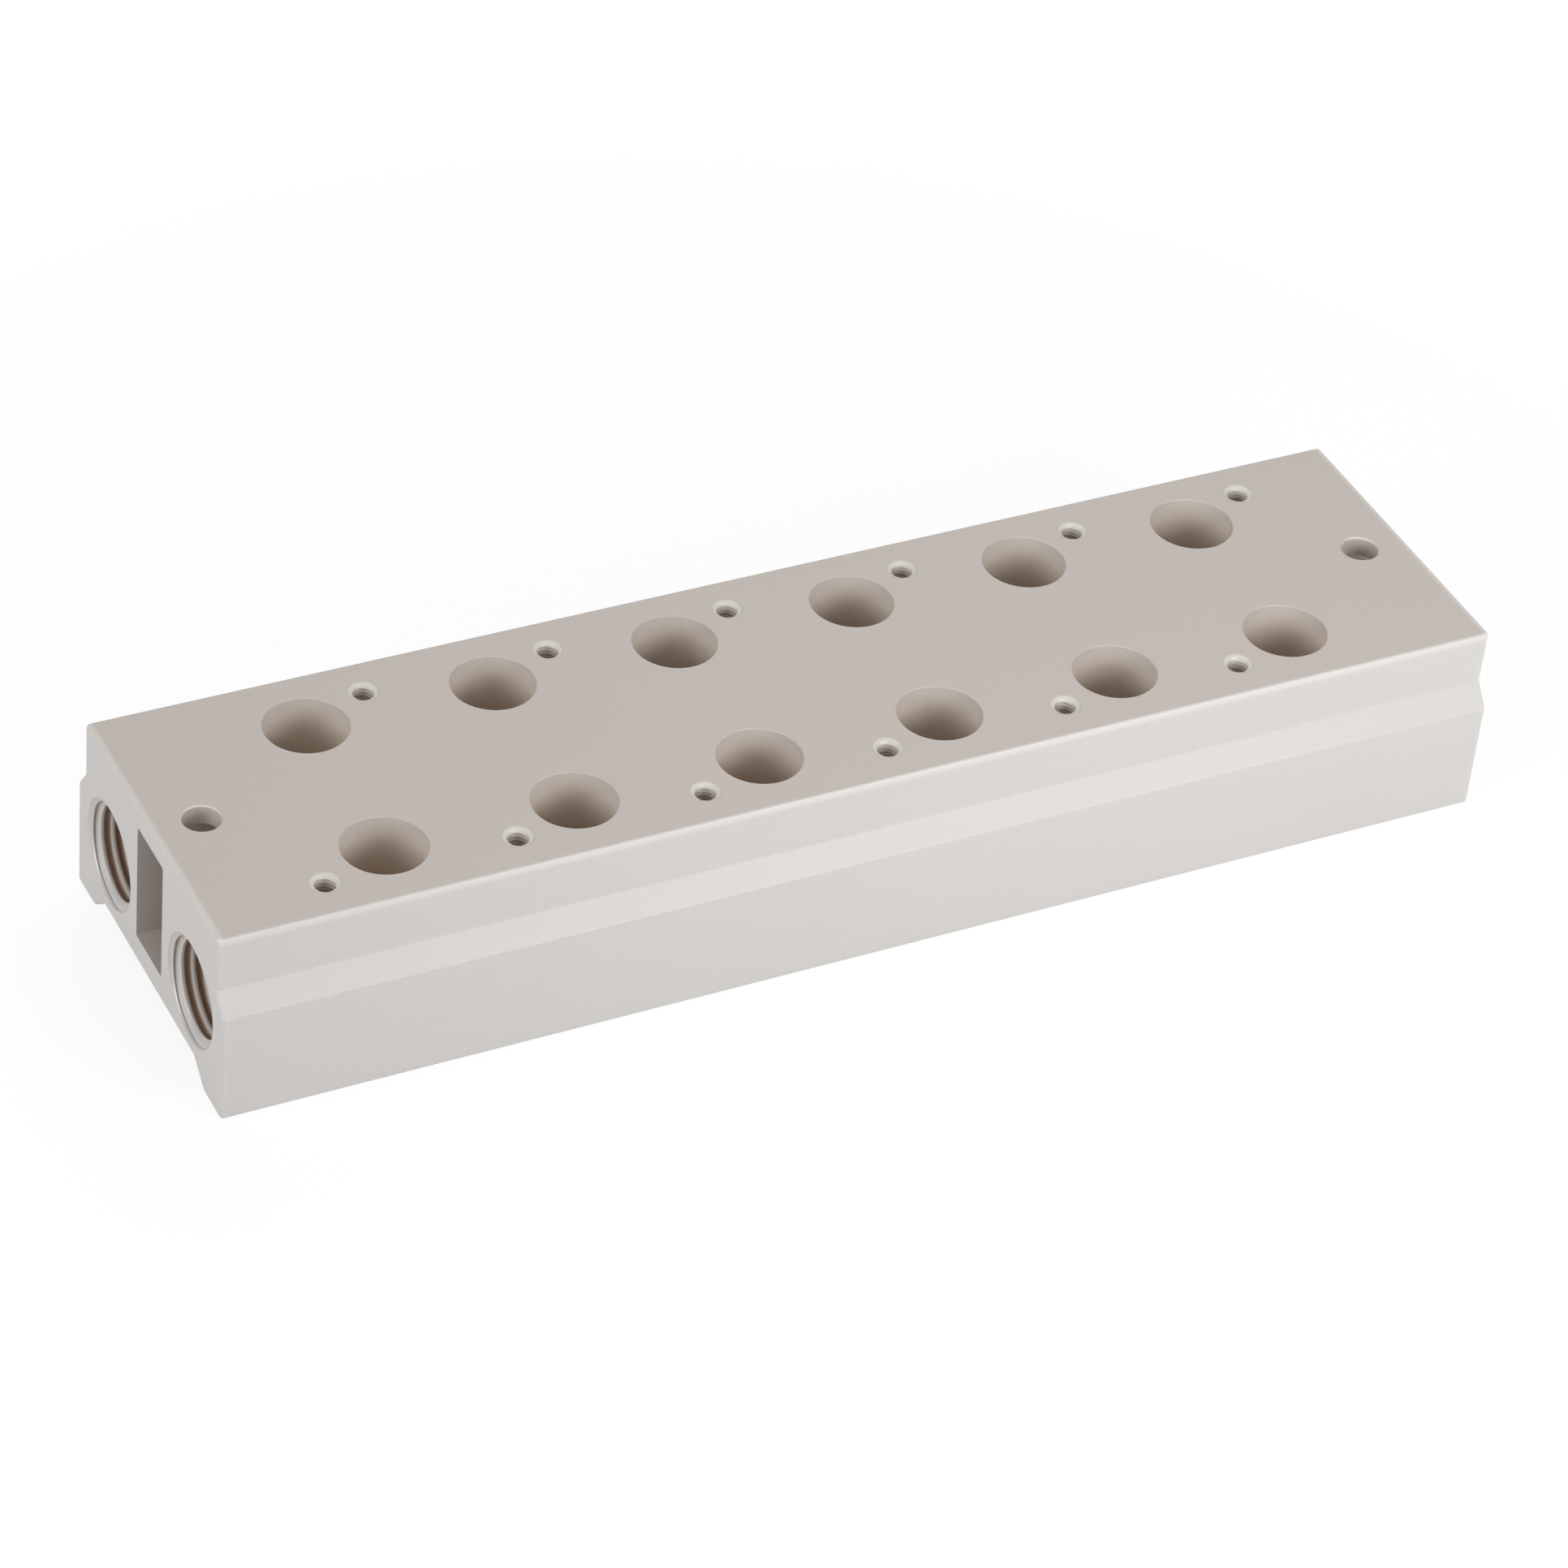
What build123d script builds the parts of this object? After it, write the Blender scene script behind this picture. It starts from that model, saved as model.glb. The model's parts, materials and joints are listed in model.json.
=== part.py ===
from build123d import *
import os

# A manifold block for a row of valves. It starts as a length of extruded aluminium section that already
# holds two round galleries and a rectangular channel between them. The ends are tapped for pipe fittings.
# Each valve sits on the top face over one port to each gallery, and is held by two screws set on a
# diagonal. Two mounting holes near the ends go down the middle, through the channel.
# Millimetres. X runs along the block, Y across it, +Z up. The origin is the middle of the underside.

# Row of valve stations
valve_count = 6
station_pitch = 23.0
end_margin = 23.0               # centre of the first or last station to its end face

# Outer section
top_width = 40.3
side_step = 2.05                # how far the lower wall stands out beyond the upper wall
block_height = 24.2
upper_wall_height = 7.2
shoulder_height = 2.65          # the sloping shoulder between upper and lower wall
relief_depth = 2.65             # the relief under the base, which leaves a foot along each side
relief_roof_width = 27.8
relief_mouth_width = 34.2
corner_radius = 0.4             # along the top and the feet
shoulder_radius = 0.3
relief_corner_radius = 0.5
end_edge_break = 0.25           # chamfer round both sawn ends

# Rectangular channel, from end to end
channel_width = 7.7
channel_height = 15.6
channel_corner_radius = 0.3
channel_roof = 2.6              # metal between the top face and the channel

# Round galleries, from end to end
gallery_diameter = 11.4
gallery_spacing = 25.0
gallery_depth = 13.3            # axis below the top face

# Tapped end ports, with a parallel pipe thread of one quarter inch
port_thread_diameter = 13.157   # across the thread's roots
port_thread_end = 12.0          # depth of the last full turn below the end face
port_countersink_diameter = 13.44
port_countersink_depth = 0.14   # down to where the countersink meets the thread's roots
thread_runout = 1.0             # the cone from the thread down to the gallery

# Valve ports, one over each gallery
valve_port_diameter = 10.0
valve_port_spacing = 22.7       # between the two rows
valve_port_mouth_radius = 0.15

# Tapped holes for the valve screws, on a diagonal of each station
screw_thread_diameter = 3.0
screw_thread_depth = 5.5
screw_countersink_diameter = 3.8
screw_countersink_depth = 0.23
screw_tip_height = 0.9          # the drill's cone below the thread
screw_offset_along = 8.5
screw_offset_across = 15.0

# Mounting holes, on the centre line
mounting_hole_diameter = 4.5
mounting_hole_inset = 6.0       # from each end face
mounting_hole_mouth_radius = 0.3

block_length = (valve_count - 1) * station_pitch + 2 * end_margin
stations = [(i - (valve_count - 1) / 2) * station_pitch for i in range(valve_count)]
gallery_height = block_height - gallery_depth


def outer_section():
    """The closed outline across the block: wide below the shoulders, with a foot along each side."""
    foot_side = top_width / 2 + side_step
    shoulder_top = block_height - upper_wall_height
    right_side = [
        (relief_roof_width / 2, relief_depth, relief_corner_radius),
        (relief_mouth_width / 2, 0, corner_radius),
        (foot_side, 0, corner_radius),
        (foot_side, shoulder_top - shoulder_height, shoulder_radius),
        (top_width / 2, shoulder_top, shoulder_radius),
        (top_width / 2, block_height, corner_radius),
    ]
    left_side = [(-across, up, radius) for across, up, radius in reversed(right_side)]
    corners = right_side + left_side
    outline = FilletPolyline(
        *[(across, up) for across, up, _ in corners],
        radius=[radius for _, _, radius in corners],
        close=True,
    )
    return Plane.YZ * make_face(outline)


def hollow_section():
    """What the extrusion leaves open from end to end: the channel and the two galleries."""
    channel = RectangleRounded(channel_width, channel_height, channel_corner_radius)
    channel_centre = block_height - channel_roof - channel_height / 2
    galleries = [
        Pos(side * gallery_spacing / 2, gallery_height) * Circle(gallery_diameter / 2) for side in (-1, 1)
    ]
    return Plane.YZ * (Sketch() + Pos(0, channel_centre) * channel + galleries)


def turned_cut(steps):
    """The space that a drill or tap clears below Z = 0, from (radius, depth) steps down its wall."""
    wall = [(radius, 0, -depth) for radius, depth in steps]
    axis_top, axis_bottom = (0, 0, -steps[0][1]), (0, 0, -steps[-1][1])
    corners = [axis_top] + wall + ([axis_bottom] if steps[-1][0] > 0 else [])
    return revolve(make_face(Polyline(*corners, close=True)), Axis.Z)


def rounded_mouth_hole(diameter, mouth_radius, depth):
    """A plain hole below Z = 0, with the edge of its mouth rounded over."""
    radius = diameter / 2
    mouth_side = (radius + mouth_radius, 0, 0)
    wall_top = (radius, 0, -mouth_radius)
    middle = mouth_radius * (1 - 0.5**0.5)
    mouth = ThreePointArc(mouth_side, (radius + middle, 0, -middle), wall_top)
    wall = Polyline(wall_top, (radius, 0, -depth), (0, 0, -depth), (0, 0, 0), mouth_side)
    return revolve(make_face(mouth + wall), Axis.Z)


# The block as extruded and sawn, with the sharp edges of its ends broken
bar = extrude(outer_section(), block_length / 2, both=True)
ends = bar.faces().filter_by(Axis.X)
bar = chamfer(ends.edges(), end_edge_break)
bar -= extrude(hollow_section(), block_length / 2, both=True)

# Tapped end ports: the countersink, the thread, and the tap's cone down to the gallery
thread_radius = port_thread_diameter / 2
end_port = turned_cut(
    [
        (port_countersink_diameter / 2, 0),
        (thread_radius, port_countersink_depth),
        (thread_radius, port_thread_end),
        (gallery_diameter / 2, port_thread_end + thread_runout),
    ]
)
for end, tilt in ((-1, -90), (1, 90)):
    for side in (-1, 1):
        mouth = Pos(end * block_length / 2, side * gallery_spacing / 2, gallery_height)
        bar -= mouth * Rot(0, tilt, 0) * end_port

# Valve ports, drilled from the top face down to the middle of the galleries
valve_port = rounded_mouth_hole(valve_port_diameter, valve_port_mouth_radius, gallery_depth)
for x in stations:
    for side in (-1, 1):
        bar -= Pos(x, side * valve_port_spacing / 2, block_height) * valve_port

# Tapped holes for the valve screws
screw_radius = screw_thread_diameter / 2
screw_hole = turned_cut(
    [
        (screw_countersink_diameter / 2, 0),
        (screw_radius, screw_countersink_depth),
        (screw_radius, screw_thread_depth),
        (0, screw_thread_depth + screw_tip_height),
    ]
)
for x in stations:
    for side in (-1, 1):
        bar -= Pos(x + side * screw_offset_along, side * screw_offset_across, block_height) * screw_hole

# Mounting holes, through the roof and the floor of the channel
mounting_hole = rounded_mouth_hole(mounting_hole_diameter, mounting_hole_mouth_radius, block_height)
for end in (-1, 1):
    bar -= Pos(end * (block_length / 2 - mounting_hole_inset), 0, block_height) * mounting_hole

bar.label = "manifold_block"
os.makedirs("parts", exist_ok=True)
export_step(bar, "parts/manifold_block.step")
print("block", block_length, "x", top_width + 2 * side_step, "x", block_height, "mm; volume", round(bar.volume))
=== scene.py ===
# %% [markdown]
# # A valve manifold block, dressed for the camera
# The block is one length of extruded aluminium. Its ends are tapped for pipe fittings, and its top face
# is drilled for six valves. All of that is already in the CAD model, which comes in as a fixed frame.
# What is left for Blender is what a machinist's hand and a coating line leave behind, the turns of the
# screw threads and the finish of each surface, and the light and shade that are painted into that finish.

# %% Load the frame
import json
from math import cos, pi, radians, sin

import bpy
from mathutils import Matrix, Vector


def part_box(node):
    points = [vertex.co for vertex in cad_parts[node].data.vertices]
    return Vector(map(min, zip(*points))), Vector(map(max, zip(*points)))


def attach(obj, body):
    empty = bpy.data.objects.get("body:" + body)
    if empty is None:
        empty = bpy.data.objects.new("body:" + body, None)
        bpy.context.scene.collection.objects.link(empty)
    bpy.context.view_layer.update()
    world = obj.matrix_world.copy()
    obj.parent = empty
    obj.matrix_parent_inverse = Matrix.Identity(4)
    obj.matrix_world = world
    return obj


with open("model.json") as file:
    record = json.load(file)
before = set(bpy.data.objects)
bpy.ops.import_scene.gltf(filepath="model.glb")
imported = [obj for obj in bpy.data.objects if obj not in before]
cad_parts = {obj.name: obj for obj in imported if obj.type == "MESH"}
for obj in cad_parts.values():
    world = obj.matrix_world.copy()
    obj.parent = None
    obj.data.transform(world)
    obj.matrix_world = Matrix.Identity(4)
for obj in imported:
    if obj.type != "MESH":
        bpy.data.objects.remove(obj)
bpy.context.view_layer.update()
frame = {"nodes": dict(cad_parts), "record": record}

low_corner, high_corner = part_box("manifold_block")
block_size = high_corner - low_corner
print("the block measures", [round(side * 1000, 2) for side in block_size], "mm")

# %% [markdown]
# ## Where things are
# The frame's record lists the places where other parts are fastened, with their positions in metres.
# Reading them here means that a thread always sits in its hole, even if the CAD model changes. The few
# sizes that the record leaves open follow in a cell of their own.

# %% Sizes and places that the frame gives
MM = 0.001
top_height, half_length = high_corner.z, high_corner.x
mounts = {mount["name"]: mount for mount in frame["record"]["mounts"]}
end_port = mounts["right_rear_port"]
port_root_radius = end_port["dims"]["r_mm"] * MM
gallery_spacing = 2 * end_port["pos_m"][1]
gallery_height = end_port["pos_m"][2]
screw_patterns = [mount for name, mount in mounts.items() if name.startswith("valve_screws")]
first_station = screw_patterns[0]["pos_m"][0]
station_pitch = screw_patterns[1]["pos_m"][0] - first_station
screw_root_radius = screw_patterns[0]["dims"]["hole_r_mm"] * MM
station_to_screw = screw_patterns[0]["dims"]["pcd_mm"] * MM / 2
print(len(screw_patterns), "valve stations,", round(station_pitch / MM, 2), "mm apart")

# %% Sizes that the frame leaves open
port_turn_height = 0.86 * MM        # from the roots of the port's thread in to its crests
port_countersink = 0.14 * MM        # the port's countersink goes this far out, and as far down
screw_across = 15 * MM              # from the middle line to a row of screws
port_crest_radius = port_root_radius - port_turn_height
port_mouth_radius = port_root_radius + port_countersink
screw_along = (station_to_screw ** 2 - screw_across ** 2) ** 0.5
print("a screw stands", round(screw_along / MM, 2), "mm along the block from its station")

# %% [markdown]
# ## The camera
# A long lens stands well back, so the block's edges stay nearly parallel. The camera is placed by what it
# looks at, how far away it is, its bearing and its height, and last a small roll about its own axis.

# %% Camera
block_centre = (low_corner + high_corner) / 2
aim = block_centre + Vector((-3.57, -3.64, 0)) * MM
distance = 655.6 * MM
bearing, elevation, roll = radians(29.67), radians(38.36), radians(5.94)

forward = Vector((sin(bearing) * cos(elevation), cos(bearing) * cos(elevation), -sin(elevation)))
level_right = forward.cross(Vector((0, 0, 1))).normalized()
level_up = level_right.cross(forward)
right = level_right * cos(roll) + level_up * sin(roll)
up = level_up * cos(roll) - level_right * sin(roll)
turned = Matrix((right, up, -forward)).transposed().to_4x4()

camera_data = bpy.data.cameras.new("camera")
camera_data.sensor_width = 36
camera_data.lens = 129.83
camera = bpy.data.objects.new("camera", camera_data)
bpy.context.scene.collection.objects.link(camera)
camera.matrix_world = Matrix.Translation(aim - forward * distance) @ turned
bpy.context.scene.camera = camera
print("the camera stands at", [round(v, 3) for v in camera.matrix_world.translation])

# %% [markdown]
# ## Maths with sockets
# A node tree is easier to read as formulas than as boxes. The first class below wraps an output socket, so
# that `1 - mask * 2` adds the Math nodes by itself. `Graph.node` makes every other kind of node: its type,
# then its settings, then what goes into its sockets. Both classes serve shaders and geometry.

# %% A socket that does arithmetic
class Value:
    """An output socket that can be used in Python arithmetic."""

    def __init__(self, graph, socket):
        self.graph = graph
        self.socket = socket

    def maths(self, operation, *others):
        return self.graph.maths(operation, self, *others)

    def __add__(self, other):
        return self.maths("ADD", other)

    def __sub__(self, other):
        return self.maths("SUBTRACT", other)

    def __rsub__(self, other):
        return self.graph.maths("SUBTRACT", other, self)

    def __mul__(self, other):
        return self.maths("MULTIPLY", other)

    def __truediv__(self, other):
        return self.maths("DIVIDE", other)

    def __neg__(self):
        return self.maths("MULTIPLY", -1)

    __radd__ = __add__
    __rmul__ = __mul__

    def absolute(self):
        return self.maths("ABSOLUTE")

    def at_least(self, other):
        return self.maths("MAXIMUM", other)

    def at_most(self, other):
        return self.maths("MINIMUM", other)

    def ramp(self, start, full):
        """0 up to start, 1 from full on, and a straight line between them. Full may be the lower one."""
        limits = {"Value": self, "From Min": start, "From Max": full}
        return self.graph.node("ShaderNodeMapRange", {"clamp": True}, limits)

    def fade(self, span):
        """The same ramp, over a span that is given in millimetres."""
        start, full = span
        return self.ramp(start * MM, full * MM)


print("sockets can be added, subtracted, multiplied and divided")

# %% A tree that takes formulas
class Graph:
    """Adds nodes to a tree, and links them."""

    def __init__(self, tree):
        self.tree = tree

    def node(self, kind, settings=None, inputs=None, output=0):
        """Makes one node, and answers with one of its outputs."""
        made = self.tree.nodes.new(kind)
        for name, setting in (settings or {}).items():
            setattr(made, name, setting)
        for name, value in (inputs or {}).items():
            if isinstance(value, Value):
                self.tree.links.new(value.socket, made.inputs[name])
            else:
                made.inputs[name].default_value = value
        return Value(self, made.outputs[output]) if len(made.outputs) else made

    def maths(self, operation, *values):
        return self.node("ShaderNodeMath", {"operation": operation}, dict(enumerate(values)))

    def other(self, value, name):
        """Another output of the node that a value comes from."""
        return Value(self, value.socket.node.outputs[name])


def new_material(name):
    """An empty material, and the graph that fills it."""
    made = bpy.data.materials.new(name)
    made.use_nodes = True
    made.node_tree.nodes.clear()
    return made, Graph(made.node_tree)


print("a graph makes shaders and geometry")

# %% [markdown]
# ## The floor and the light
# The block stands on a white floor that runs out into a white world, so no horizon shows. The floor is part
# ordinary matt white, which takes the block's shadow, and part plain white that only the camera, mirrors
# and glass see. Farther out it is all plain white, because there is no shadow to keep there.

# %% Floor
FLOOR_RADIUS = 3.0                  # metres
FLOOR_DROP = 0.02 * MM              # keeps it clear of the undersides of the feet
SHADOW_NEAR, SHADOW_FAR = 0.14, 0.40    # metres from the middle, between which the matt white gives way
PLAIN_NEAR = 0.70                   # share of plain white round the block
PLAIN_STRENGTH = 1.21               # over 1, to make up for the darker matt white that it is mixed with

bpy.ops.mesh.primitive_circle_add(
    vertices=96, radius=FLOOR_RADIUS, fill_type="NGON", location=(0, 0, -FLOOR_DROP),
)
floor = bpy.context.object
floor.name = "floor"

floor_white, graph = new_material("floor_white")
place = graph.node("ShaderNodeTexCoord", output="Object")
from_middle = graph.node("ShaderNodeVectorMath", {"operation": "LENGTH"}, {0: place}, output="Value")
camera_ray = graph.node("ShaderNodeLightPath", output="Is Camera Ray")
mirror_or_glass = graph.other(camera_ray, "Is Glossy Ray") + graph.other(camera_ray, "Is Transmission Ray")
seen = (camera_ray + mirror_or_glass).at_most(1)
plain_white = graph.node("ShaderNodeEmission", None, {"Color": (1, 1, 1, 1), "Strength": PLAIN_STRENGTH})
matt_white = graph.node("ShaderNodeBsdfDiffuse", None, {"Color": (0.64, 0.64, 0.64, 1)})
plain_share = seen * (PLAIN_NEAR + (1 - PLAIN_NEAR) * from_middle.ramp(SHADOW_NEAR, SHADOW_FAR))
shown = graph.node("ShaderNodeMixShader", None, {0: plain_share, 1: matt_white, 2: plain_white})
graph.node("ShaderNodeOutputMaterial", None, {"Surface": shown})
floor.data.materials.append(floor_white)
print("the floor is", floor.dimensions.x, "m across")

# %% [markdown]
# The world does two jobs. As a light it fills the shadows from all sides, and for that it is fairly dim. As
# a backdrop it has to be white, so the camera sees a brighter one.

# %% World
WORLD_LIGHT, WORLD_BACKDROP = 0.37, 1.0

bpy.context.scene.view_settings.view_transform = "Standard"
world = bpy.data.worlds.new("world")
bpy.context.scene.world = world
world.use_nodes = True
world.node_tree.nodes.clear()
graph = Graph(world.node_tree)
camera_ray = graph.node("ShaderNodeLightPath", output="Is Camera Ray")
seen = (camera_ray + graph.other(camera_ray, "Is Transmission Ray")).at_most(1)
around = graph.node("ShaderNodeBackground", None, {"Color": (1, 1, 1, 1), "Strength": WORLD_LIGHT})
behind = graph.node("ShaderNodeBackground", None, {"Color": (1, 1, 1, 1), "Strength": WORLD_BACKDROP})
shown = graph.node("ShaderNodeMixShader", None, {0: seen, 1: around, 2: behind})
graph.node("ShaderNodeOutputWorld", None, {"Surface": shown})
print("the world lights with", WORLD_LIGHT, "and shows as white")

# %% [markdown]
# Four soft boxes do the rest. The key is small, and stands low and near in front of the long side, so the
# sloping band along that side is the brightest surface. A larger one lights the left end, one overhead
# evens out the top, and one high up behind keeps the rear side from going dark.

# %% Soft boxes
def soft_box(name, place, side, watts):
    """A square lamp that faces the middle of the block from a place in metres."""
    lamp = bpy.data.lights.new(name, "AREA")
    lamp.size = side
    lamp.energy = watts
    made = bpy.data.objects.new(name, lamp)
    made.visible_camera = False
    bpy.context.scene.collection.objects.link(made)
    out = Vector(place) - block_centre
    made.matrix_world = Matrix.Translation(place) @ out.to_track_quat("Z", "Y").to_matrix().to_4x4()
    return made


lamps = [    # each with its place and its side in metres, and its power in watts
    soft_box("key_box", (0.09, -0.28, 0.115), 0.18, 0.55),
    soft_box("left_box", (-1.0, -0.15, 0.38), 0.6, 4.6),
    soft_box("top_box", (0.00, 0.00, 1.2), 0.9, 0.74),
    soft_box("rear_box", (0.50, 0.85, 0.78), 0.7, 3.6),
]
print("lamps:", [lamp.name for lamp in lamps])

# %% [markdown]
# ## The finish
# Extruded aluminium is etched matt and anodised, which leaves a thin hard coating with a warm grey tone. It
# is smooth to the touch and shows no brush marks, but a close look finds a fine grain everywhere, faint
# lines that the die leaves along the sides, and slightly warmer metal where a face has been machined. Added
# to that, light and shade are painted in: a painted highlight along the edges and round the lips of the
# small holes, painted light on the walls of the valve ports, and painted shade deeper down in the holes and
# grooves.
#
# A painted image could carry all of this, but it would have to be unwrapped into every hole. Instead, each
# tone is worked out from the place on the block, in metres. The tones and the helpers below serve the block
# and its threads alike.

# %% Tones
SIDE_TONE = (0.638, 0.620, 0.598, 1)            # the sides and the ends
MACHINED_TONE = (0.610, 0.556, 0.514, 1)        # the milled top and the bores; on the extruded channel it is painted shade
PORT_LIGHT_TONE = (0.850, 0.785, 0.715, 1)            # painted light on the wall of a valve port
SHADE_TONE = (0.560, 0.400, 0.290, 1)           # painted shade deep in a valve port, and round an end port
HIGHLIGHT_TONE = (0.800, 0.765, 0.725, 1)          # painted highlight on edges and lips
THREAD_TONE = (0.720, 0.695, 0.655, 1)          # the crests of the threads
GROOVE_SHADE_TONE = (0.520, 0.335, 0.230, 1)          # painted shade in the grooves of an end port
SCREW_SHADE_TONE = (0.680, 0.580, 0.510, 1)           # painted shade down in a screw hole
print("side tone", SIDE_TONE[:3], "machined tone", MACHINED_TONE[:3])

# %% Helpers for a finish
GRAIN, CLOUDS, DIE_LINES = (5200, 2, 0.55), (55, 3, 0.5), (2600, 3, 0.6)    # scale, detail, roughness
LINE_STRETCH = (0.012, 1, 1)        # draws noise out into lines along the block


def place_on_block(graph):
    """The place on the block in metres: the whole of it, and its three parts."""
    place = graph.node("ShaderNodeTexCoord", output="Object")
    x = graph.node("ShaderNodeSeparateXYZ", None, {0: place}, output="X")
    return place, x, graph.other(x, "Y"), graph.other(x, "Z")


def noise(graph, place, scale, detail, roughness):
    """Noise from 0 to 1 whose middle is 0.5."""
    return graph.node("ShaderNodeTexNoise", None, {
        "Vector": place, "Scale": scale, "Detail": detail, "Roughness": roughness,
    })


def waver(middle, *causes):
    """A middle value that each (amount, noise) pair moves up and down."""
    value = middle
    for amount, cause in causes:
        value = value + amount * (cause - 0.5)
    return value


def blend(graph, share, first, second, how="MIX"):
    """The first colour where the share is 0, and the second where it is 1."""
    settings = {"data_type": "RGBA", "blend_type": how}
    return graph.node("ShaderNodeMix", settings, {0: share, 6: first, 7: second}, output=2)


def shaded(graph, tone, value):
    """A colour times a number. The number becomes a grey first, because Math nodes lose colour."""
    grey = graph.node("ShaderNodeCombineColor", None, {"Red": value, "Green": value, "Blue": value})
    return blend(graph, 1.0, tone, grey, "MULTIPLY")


def coating(graph, colour, roughness, relief):
    """The shader of the anodised layer: half metal, half ceramic, and matt."""
    normal = graph.node("ShaderNodeBump", None, {"Strength": 0.12, "Distance": 0.02 * MM, "Height": relief})
    shader = graph.node("ShaderNodeBsdfPrincipled", None, {
        "Base Color": colour, "Metallic": 0.2, "Roughness": roughness, "Normal": normal,
        "Specular IOR Level": 0.35,
    })
    graph.node("ShaderNodeOutputMaterial", None, {"Surface": shader})


print("a finish is a tone, a roughness and a fine relief")

# %% [markdown]
# The block's own finish starts from the side tone. The top is milled, and it is warmer, as are the bores,
# and the extruded channel gets the same darker tone as painted shade. Masks find those places from the
# height, the distance to an end and the distance to the middle line. The walls of the valve ports get
# painted light, and down inside them a painted shade grows browner with depth, and a faint painted shade
# rings each end port. Last come the painted highlights: a bright band along the long top edges, a weaker
# one round the ends, and the lips of the screw holes and the mounting holes.

# %% How far each mask reaches: where it starts and where it is full, in millimetres
SKIN = (0.10, 0.02)             # below the top, or from an end: the flat face itself
EDGE_BREAK = (0.32, 0.27)       # below the top and from an end: the chamfer where they meet
BETWEEN_WALLS = (18.6, 18.2)    # from the middle line: clear of the outer walls
ABOVE_BASE = (3.2, 3.6)         # up from the floor: clear of the underside
BESIDE_CHANNEL = (5.0, 5.6)     # from the middle line: past the channel
PAST_END_PORT = (13.5, 14.5)    # from an end: past the run-out of the thread
PORT_MOUTH = (0, 2.5)           # below the top: the painted light on the walls of a valve port grows
SHADE_DEPTH = (1.0, 13.0)       # below the top: the painted shade in a valve port grows stronger
PORT_RING = (0.20, 0.15)        # from an end: the painted shade in the countersink of an end port
OUTER_WALL = (19.5, 19.8)       # from the middle line: the outer walls
BAND_HEAD = (0.1, 0.4)          # below the top: the upper side of the painted highlight along the top edge
BAND_FOOT = (1.15, 0.65)        # below the top: its lower side
END_BAND = (0.9, 0.3)           # from an end: the weaker painted highlight round it
END_TOP = (0.4, 0.3)            # below the top: where that band is stronger
SCREW_ROW = (12.9, 13.0)        # from the middle line: the rows of screws
BESIDE_PORTS = (5.6, 5.8)       # along from a station: past its valve ports
MOUNTING_ROW = (3.0, 2.9)       # from the middle line: the mounting holes
ROUNDED_MOUTH = (0.35, 0.25)    # below the top: their rounded mouths
BELOW_FACE = (0.04, 0.14)       # below the top: where a lip starts
print("the stain in a valve port is full", SHADE_DEPTH[1], "mm down")

# %% How strong each mask is where it is full
SHADE_SHARE, RING_SHARE, GROOVE_SHADE_SHARE = 0.8, 0.2, 0.8    # painted shade in a valve port, round an end port, in a groove
BAND_SHARE, LIP_SHARE = 0.6, 0.8                        # painted highlight along the top edge, and on a lip
END_SHARE, END_TOP_SHARE = 0.1, 0.5                     # painted highlight round an end, and more along its top
print("a lip is rubbed by", LIP_SHARE, "and a top edge by", BAND_SHARE)

# %% Masks for what lies inside
block_finish, graph = new_material("coated_aluminium")
place, x, y, z = place_on_block(graph)
across, below_top, from_end = y.absolute(), top_height - z, half_length - x.absolute()

on_top, on_end = below_top.fade(SKIN), from_end.fade(SKIN)
on_side = (1 - on_top) * (1 - on_end)
sawn_edge = from_end.fade(EDGE_BREAK) * below_top.fade(EDGE_BREAK)
inside = on_side * (1 - sawn_edge) * across.fade(BETWEEN_WALLS) * z.fade(ABOVE_BASE)
in_ports = inside * across.fade(BESIDE_CHANNEL)
valve_row = in_ports * from_end.fade(PAST_END_PORT)
# painted shade that grows with depth in a valve port
painted_shade = valve_row * below_top.fade(SHADE_DEPTH)
# painted shade in the countersink of an end port
port_ring = in_ports * from_end.fade(PORT_RING)
print("masks so far use", len(block_finish.node_tree.nodes), "nodes")

# %% Masks for the painted highlights
top_edge = below_top.fade(BAND_HEAD) * below_top.fade(BAND_FOOT) * across.fade(OUTER_WALL) * on_side
end_edge = from_end.fade(END_BAND) * (1 - inside) * (END_SHARE + END_TOP_SHARE * below_top.fade(END_TOP))
from_station = (x - first_station).maths("PINGPONG", station_pitch / 2)
screw_lip = across.fade(SCREW_ROW) * from_station.fade(BESIDE_PORTS)
mounting_lip = across.fade(MOUNTING_ROW) * below_top.fade(ROUNDED_MOUTH)
lip = inside * below_top.fade(BELOW_FACE) * screw_lip.at_least(mounting_lip)
# painted highlights: along the top edges, round the ends and on the lips
highlighted = (top_edge * BAND_SHARE).at_least(end_edge).at_least(lip * LIP_SHARE)
print("with the rubbed places they use", len(block_finish.node_tree.nodes), "nodes")

# %% The block's finish
# on the extruded channel the darker machined tone is painted shade
tone = blend(graph, on_top.at_least(inside), SIDE_TONE, MACHINED_TONE)
# painted light on the walls of the valve ports
tone = blend(graph, valve_row * below_top.fade(PORT_MOUTH), tone, PORT_LIGHT_TONE)
# painted shade deep in the valve ports and round the end ports
tone = blend(graph, (painted_shade * SHADE_SHARE).at_least(port_ring * RING_SHARE), tone, SHADE_TONE)
# painted highlights on the edges and lips
tone = blend(graph, highlighted, tone, HIGHLIGHT_TONE)

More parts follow.
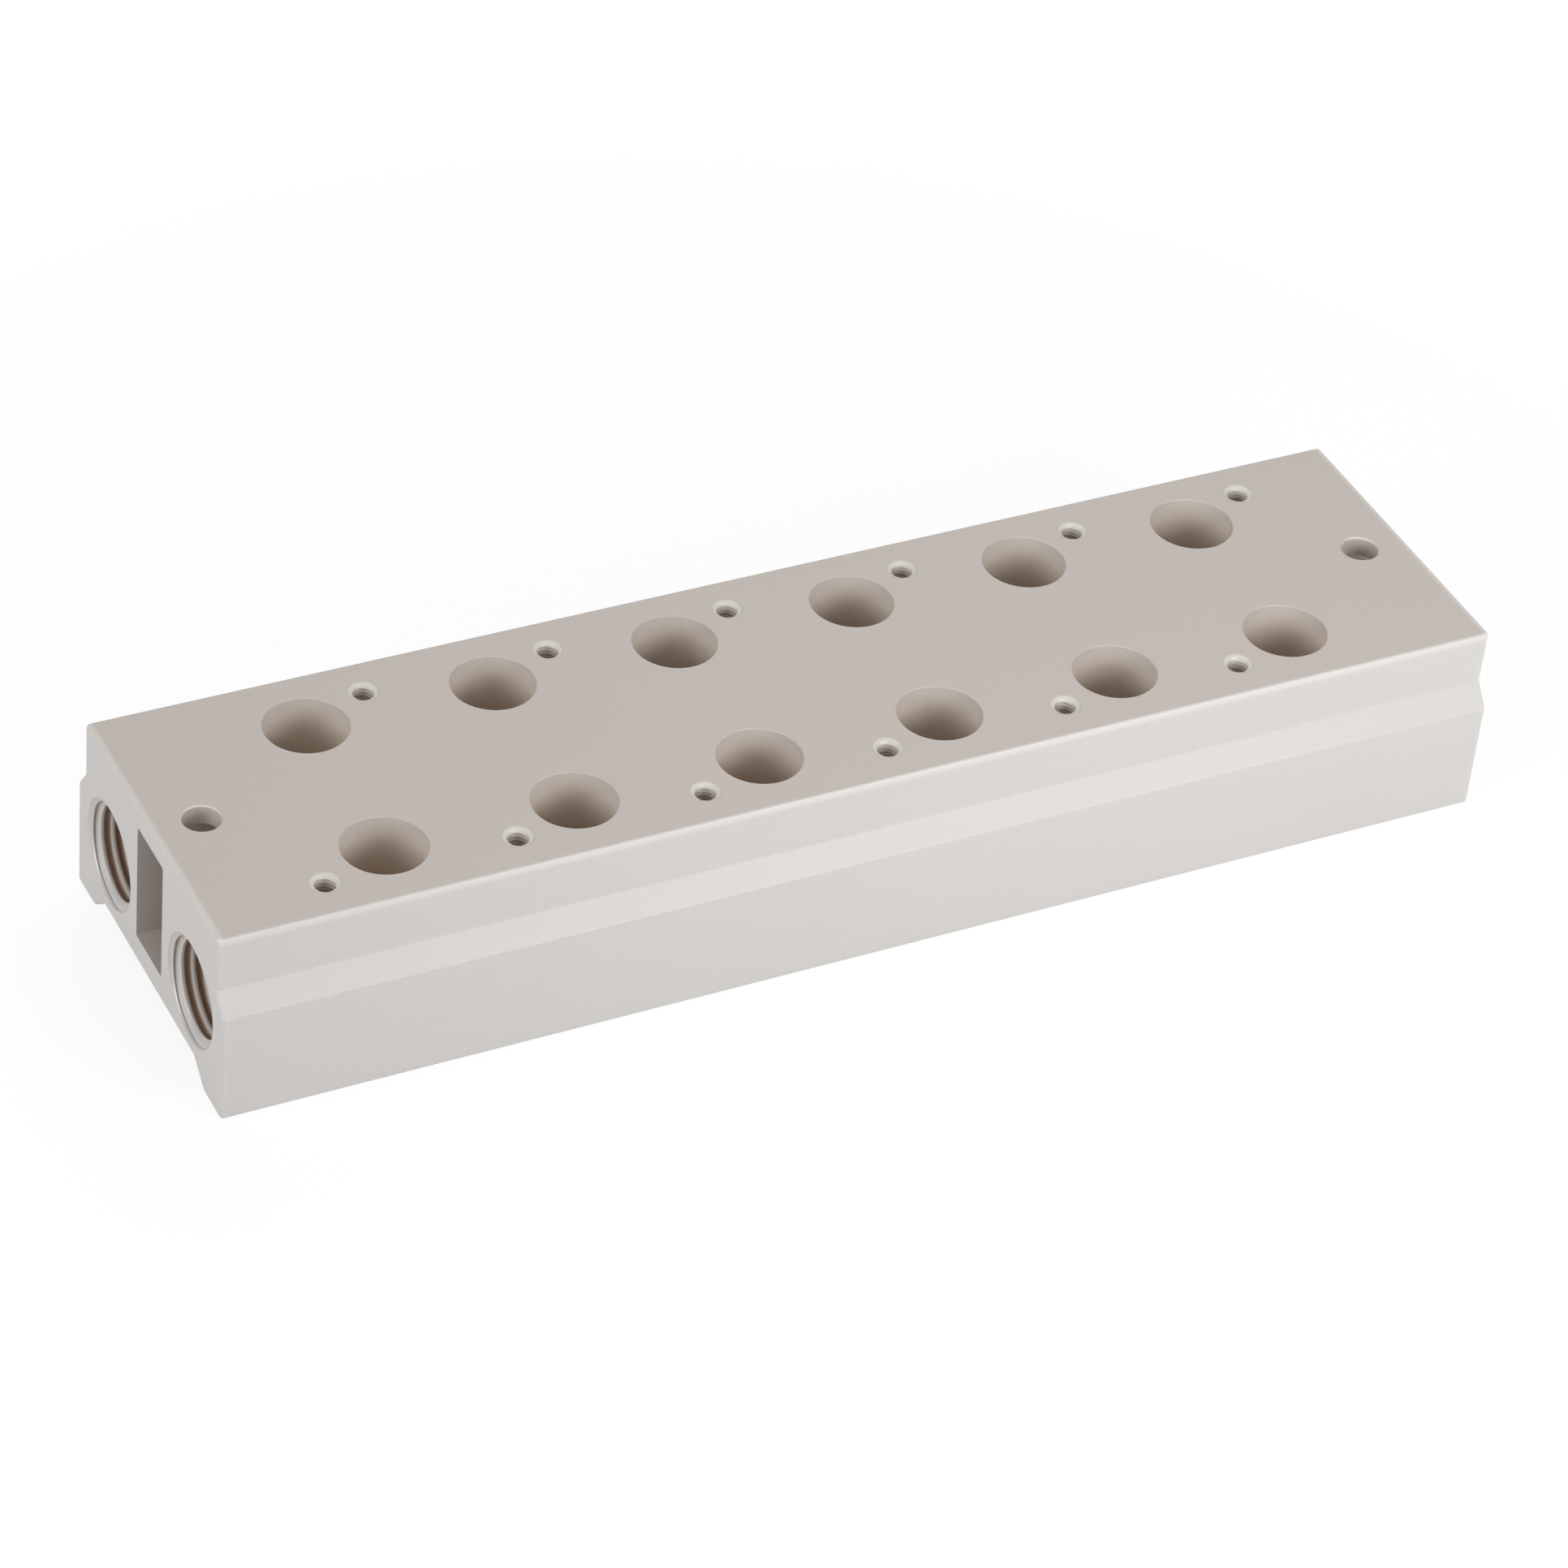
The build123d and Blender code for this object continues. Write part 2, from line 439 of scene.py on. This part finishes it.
along = graph.node("ShaderNodeMapping", {"vector_type": "POINT"}, {"Vector": place, "Scale": LINE_STRETCH})
die_lines = noise(graph, along, *DIE_LINES)
grain = noise(graph, place, *GRAIN)
clouds = noise(graph, place, *CLOUDS)
tone = shaded(graph, tone, waver(1, (0.05, grain), (0.03, clouds), (0.05 * on_side, die_lines)))
roughness = waver(0.62, (0.08, grain), (0.06, clouds), (0.05 * on_side, die_lines))
coating(graph, tone, roughness, grain + die_lines * on_side)

block = frame["nodes"]["manifold_block"]
block.data.materials.clear()
block.data.materials.append(block_finish)
print("the block's", len(block.data.polygons), "faces share", len(block_finish.node_tree.nodes), "nodes")

# %% [markdown]
# ## The screw threads
# An end port takes a pipe fitting, and each valve is held by two small screws. A thread is one groove that
# winds down the wall of its hole. It could be cut with booleans, but a helix makes those slow and
# fragile. Instead, each thread is a sleeve that lines the hole, and its surface is written down as a rule:
# at a given turn and depth, the thread has a certain radius.
#
# The groove's two flanks are straight and stand 55 degrees apart, as on a pipe thread, and its crests and
# roots are rounded. On a screw they stand 60 degrees apart, but at that size the difference doesn't show.
# The countersink cuts off what stands in its way at the mouth, and at the far end the thread runs out
# into the plain wall within one turn.

# %% The thread's rule
GROOVE_HALF = 0.20      # half the groove's width at the middle of its depth, as a share of the pitch
FLANK_RISE = 1.92       # how far a flank goes out for each step along the hole


def thread_radius(size, depth, turn):
    """The radius at a depth, and at a share of a turn round the hole."""
    mouth, end, pitch = size("Mouth Depth"), size("End Depth"), size("Pitch")
    root, crest = size("Root Radius"), size("Crest Radius")
    wave = ((depth - mouth) / pitch + turn + size("Start Turn")).maths("PINGPONG", 0.5)
    cut = (root + crest) / 2 + (GROOVE_HALF - wave) * FLANK_RISE * pitch
    radius = cut.maths("SMOOTH_MAX", crest, size("Rounding"))
    radius = radius.maths("SMOOTH_MIN", root, size("Rounding"))
    countersink = size("Mouth Radius") - (depth - mouth) * size("Mouth Slope")
    run_out = crest + (root - crest) * (end - depth) / pitch
    return radius.at_least(countersink).at_most(run_out.at_least(crest))


print("a flank rises", FLANK_RISE, "for each step along")

# %% [markdown]
# The sleeve starts as a flat grid. One side of the grid goes once round the hole. The other side goes down
# the wall, and comes back up behind it, where it is buried in the metal. Each row follows the helix, so the
# crests stay sharp, and after one turn a row meets the row one pitch below it. Rows that would rise out
# of the mouth are held at its edge. The grid's borders meet at the seam and behind the mouth, and are
# merged there, so the sleeve is a closed solid.

# %% One sleeve
SHARP_FOLD = radians(38)        # a fold from here up is an edge, and a gentler one is shaded smooth
SAME_POINT = 0.001              # millimetres within which two corners of the grid become one


def wound_sleeve(graph, size):
    """A flat grid that is wound into one sleeve, in millimetres, with its mouth at the top."""
    mouth, end, pitch = size("Mouth Depth"), size("End Depth"), size("Pitch")

    # once round, by one row behind the mouth, all the rows down the wall, and two rows back up behind it
    turns_down = ((end - mouth) / pitch + 1).maths("CEIL")
    wall_rows = turns_down * size("Steps Down") + 1
    flat = graph.node("GeometryNodeMeshGrid", None, {
        "Size X": 2 * pi, "Size Y": wall_rows + 2,
        "Vertices X": size("Steps Round") + 1, "Vertices Y": wall_rows + 3,
    })
    spot = graph.node("GeometryNodeInputPosition")
    angle = graph.node("ShaderNodeSeparateXYZ", None, {0: spot}, output="X")
    row = graph.other(angle, "Y") + (wall_rows + 2) / 2
    turn = angle / (2 * pi) + 0.5

    # down the wall along the helix, held between the mouth and the end
    depth = mouth + pitch * ((row - 1) / size("Steps Down") - turn)
    depth = depth.at_least(mouth).at_most(end)
    radius = thread_radius(size, depth, turn)

    # and back up behind it, from a row at the end to one just below the mouth
    behind = row.maths("GREATER_THAN", wall_rows + 0.5).at_least(row.maths("LESS_THAN", 0.5))
    at_end = (row - wall_rows - 1).absolute().maths("LESS_THAN", 0.5)
    depth_behind = at_end * end + (1 - at_end) * (mouth + size("Bedding"))
    depth = depth * (1 - behind) + behind * depth_behind
    radius = radius * (1 - behind) + behind * (size("Root Radius") + size("Bedding"))

    wound = graph.node("ShaderNodeCombineXYZ", None, {
        "X": radius * angle.maths("COSINE"), "Y": radius * angle.maths("SINE"), "Z": -depth,
    })
    sleeve = graph.node("GeometryNodeSetPosition", None, {"Geometry": flat, "Position": wound})
    sleeve = graph.node("GeometryNodeMergeByDistance", None, {"Geometry": sleeve, "Distance": SAME_POINT})
    fold = graph.node("GeometryNodeInputMeshEdgeAngle", output="Unsigned Angle")
    gentle = graph.node("FunctionNodeCompare", {"operation": "LESS_THAN"}, {0: fold, 1: SHARP_FOLD})
    smoothed = {"Geometry": sleeve, "Shade Smooth": gentle}
    return graph.node("GeometryNodeSetShadeSmooth", {"domain": "EDGE"}, smoothed)


print("folds under", round(SHARP_FOLD * 180 / pi), "degrees are shaded smooth")

# %% [markdown]
# The holes lie on a grid too: two rows, with a hole for each station or for each end. A sleeve is set on
# each point of that grid. The rows of screws are shifted against each other, because the two screws of a
# valve stand on a diagonal. The end ports face outwards, so their sleeves are turned to look that way.

# %% A sleeve in every hole
def sleeves_in_holes(graph, size, sleeve):
    """Copies of one sleeve, each in its hole, and then all of them in metres."""
    holes = graph.node("GeometryNodeMeshGrid", None, {
        "Size X": size("Length Apart"), "Size Y": size("Width Apart"),
        "Vertices X": size("Holes Along"), "Vertices Y": 2,
    })
    spot = graph.node("GeometryNodeInputPosition")
    hole_x = graph.node("ShaderNodeSeparateXYZ", None, {0: spot}, output="X")
    side = graph.other(hole_x, "Y").maths("SIGN")
    shift = graph.node("ShaderNodeCombineXYZ", None, {
        "X": side * size("Stagger"), "Y": 0.0, "Z": size("Height"),
    })
    holes = graph.node("GeometryNodeSetPosition", None, {"Geometry": holes, "Offset": shift})
    outwards = size("Faces Outwards")
    facing = graph.node("ShaderNodeCombineXYZ", None, {
        "X": outwards * hole_x.maths("SIGN"), "Y": 0.0, "Z": 1 - outwards,
    })
    turned = graph.node("FunctionNodeAlignRotationToVector", {"axis": "Z"}, {"Vector": facing})
    placed = graph.node("GeometryNodeInstanceOnPoints", None, {
        "Points": holes, "Instance": sleeve, "Rotation": turned,
    })
    placed = graph.node("GeometryNodeRealizeInstances", None, {"Geometry": placed})
    return graph.node("GeometryNodeTransform", None, {"Geometry": placed, "Scale": (MM, MM, MM)})


print("the holes lie in two rows")

# %% The tree that lines holes with threads
NUMBERS = {
    "Root Radius": 6.0, "Crest Radius": 5.0, "Pitch": 1.3, "Rounding": 0.1, "Start Turn": 0.0,
    "Mouth Depth": 0.4, "Mouth Radius": 6.0, "Mouth Slope": 1.5, "End Depth": 12.0, "Bedding": 0.08,
    "Length Apart": 100.0, "Width Apart": 20.0, "Stagger": 0.0, "Height": 10.0, "Faces Outwards": 0.0,
}
COUNTS = {"Steps Round": 96, "Steps Down": 12, "Holes Along": 2}


def thread_tree():
    """The whole tree, with an input for each of the sizes and counts above, and one for the material."""
    tree = bpy.data.node_groups.new("threaded_sleeves", "GeometryNodeTree")
    tree.interface.new_socket("Geometry", in_out="OUTPUT", socket_type="NodeSocketGeometry")
    for sizes, kind in ((NUMBERS, "NodeSocketFloat"), (COUNTS, "NodeSocketInt")):
        for name, value in sizes.items():
            tree.interface.new_socket(name, in_out="INPUT", socket_type=kind).default_value = value
    tree.interface.new_socket("Material", in_out="INPUT", socket_type="NodeSocketMaterial")

    graph = Graph(tree)
    group = graph.node("NodeGroupInput")

    def size(name):
        return graph.other(group, name)

    lined = sleeves_in_holes(graph, size, wound_sleeve(graph, size))
    coated = graph.node("GeometryNodeSetMaterial", None, {"Geometry": lined, "Material": size("Material")})
    graph.node("NodeGroupOutput", None, {0: coated})
    return tree


sleeves = thread_tree()
print("the tree has", len(sleeves.nodes), "nodes")

# %% [markdown]
# ## The threads' finish
# A tap leaves smoother metal than a mill, so the threads are a little lighter and glossier than the block.
# In an end port the crests stay light, while the grooves and the far end of the hole are darkened brown as
# painted shade. The first turn has the tone of the block's ends, and the painted shade starts behind it.
# How deep a spot lies in its groove is measured from the wall that the crests would touch: the cone of the
# countersink at the mouth, and the cylinder through the crests below it.
#
# The screw holes are too small to look far into. Their lip gets a painted highlight, and a painted shade
# darkens them quickly below it.

# %% How far each mask on the threads reaches, in millimetres
PORT_LENGTH = (13, 12.9)        # from an end: the sleeve of an end port
PORT_TOP = (18, 17.9)           # up from the floor: below the screw holes
GROOVE_DEPTH = (0.04, 0.34)     # out from the wall that the crests touch
FIRST_TURN = (0.8, 1.2)         # from an end: the painted shade starts behind the first turn
FAR_DOWN = (3, 9)               # from an end: the painted shade spreads over the crests too
SCREW_LIP = (0.90, 0.45)        # below the top: the painted highlight on a screw hole's lip
SCREW_DEPTH = (0.5, 1.9)        # below the top: the painted shade in a screw hole
print("an end port is brown from", FIRST_TURN[1], "mm in")

# %% The threads' finish
def diagonal(first, second):
    return (first * first + second * second).maths("SQRT")


thread_finish, graph = new_material("cut_threads")
place, x, y, z = place_on_block(graph)
from_end, below_top = half_length - x.absolute(), top_height - z

in_port = from_end.fade(PORT_LENGTH) * z.fade(PORT_TOP)
from_axis = diagonal(y.absolute() - gallery_spacing / 2, z - gallery_height)
crest_wall = (port_mouth_radius - from_end).at_least(port_crest_radius)
past_first_turn = from_end.fade(FIRST_TURN)
groove = (from_axis - crest_wall).fade(GROOVE_DEPTH) * past_first_turn
# painted shade in the grooves and deep in an end port
darkened = in_port * groove.at_least(from_end.fade(FAR_DOWN)) * GROOVE_SHADE_SHARE
grain = noise(graph, place, *GRAIN)

tone = blend(graph, in_port * (1 - past_first_turn), THREAD_TONE, SIDE_TONE)
tone = blend(graph, darkened, tone, GROOVE_SHADE_TONE)
# painted shade down in a screw hole
tone = blend(graph, (1 - in_port) * below_top.fade(SCREW_DEPTH), tone, SCREW_SHADE_TONE)
# painted highlight on the lip of a screw hole
tone = blend(graph, (1 - in_port) * below_top.fade(SCREW_LIP), tone, HIGHLIGHT_TONE)
tone = shaded(graph, tone, waver(1, (0.06, grain)))
coating(graph, tone, waver(0.40, (0.08, grain)), grain)
print("the thread finish has", len(thread_finish.node_tree.nodes), "nodes")

# %% [markdown]
# The same tree lines the four end ports and the twelve screw holes. Only its inputs differ. A modifier
# keeps its inputs under the identifiers of the tree's sockets, so a small helper looks those up by name.
# The roots of a thread stand a hair proud of the bare wall of its hole, so that they hide it.

# %% A piece of threads
def threads(name, sizes):
    """Runs the tree with these sizes, and keeps the result as a plain mesh."""
    start = bpy.data.objects.new(name + "_tree", bpy.data.meshes.new(name + "_tree"))
    bpy.context.scene.collection.objects.link(start)
    modifier = start.modifiers.new("threads", "NODES")
    modifier.node_group = sleeves
    identifiers = {item.name: item.identifier for item in sleeves.interface.items_tree}
    for label, value in {**sizes, "Material": thread_finish}.items():
        modifier[identifiers[label]] = value
    view = bpy.context.evaluated_depsgraph_get()
    mesh = bpy.data.meshes.new_from_object(start.evaluated_get(view), depsgraph=view)
    bpy.data.objects.remove(start)
    piece = bpy.data.objects.new(name, mesh)
    bpy.context.scene.collection.objects.link(piece)
    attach(piece, "root")
    triangles = sum(len(face.vertices) - 2 for face in mesh.polygons)
    print(name, "has", triangles, "triangles")
    return piece


print("the helper is ready to line the holes")

# %% Threads in the ports and in the screw holes
port_proud, screw_proud = 0.05, 0.04        # millimetres that the roots stand proud of the bare wall

port_threads = threads("port_threads", {
    "Root Radius": port_root_radius / MM - port_proud, "Crest Radius": port_crest_radius / MM,
    "Pitch": 1.337, "Rounding": 0.12, "Start Turn": 0.845,
    "Mouth Depth": 0.13, "Mouth Radius": 6.575, "Mouth Slope": 1.0, "End Depth": 12.3,
    "Length Apart": block_size.x / MM, "Width Apart": gallery_spacing / MM, "Height": gallery_height / MM,
    "Faces Outwards": 1.0, "Steps Round": 96, "Steps Down": 12, "Holes Along": 2,
})
screw_threads = threads("screw_threads", {
    "Root Radius": screw_root_radius / MM - screw_proud, "Crest Radius": 1.25,
    "Pitch": 0.5, "Rounding": 0.06,
    "Mouth Depth": 0.21, "Mouth Radius": 1.53, "Mouth Slope": 1.73, "End Depth": 5.5,
    "Length Apart": (len(screw_patterns) - 1) * station_pitch / MM, "Width Apart": 2 * screw_across / MM,
    "Stagger": screw_along / MM, "Height": block_size.z / MM,
    "Steps Round": 32, "Steps Down": 8, "Holes Along": len(screw_patterns),
})
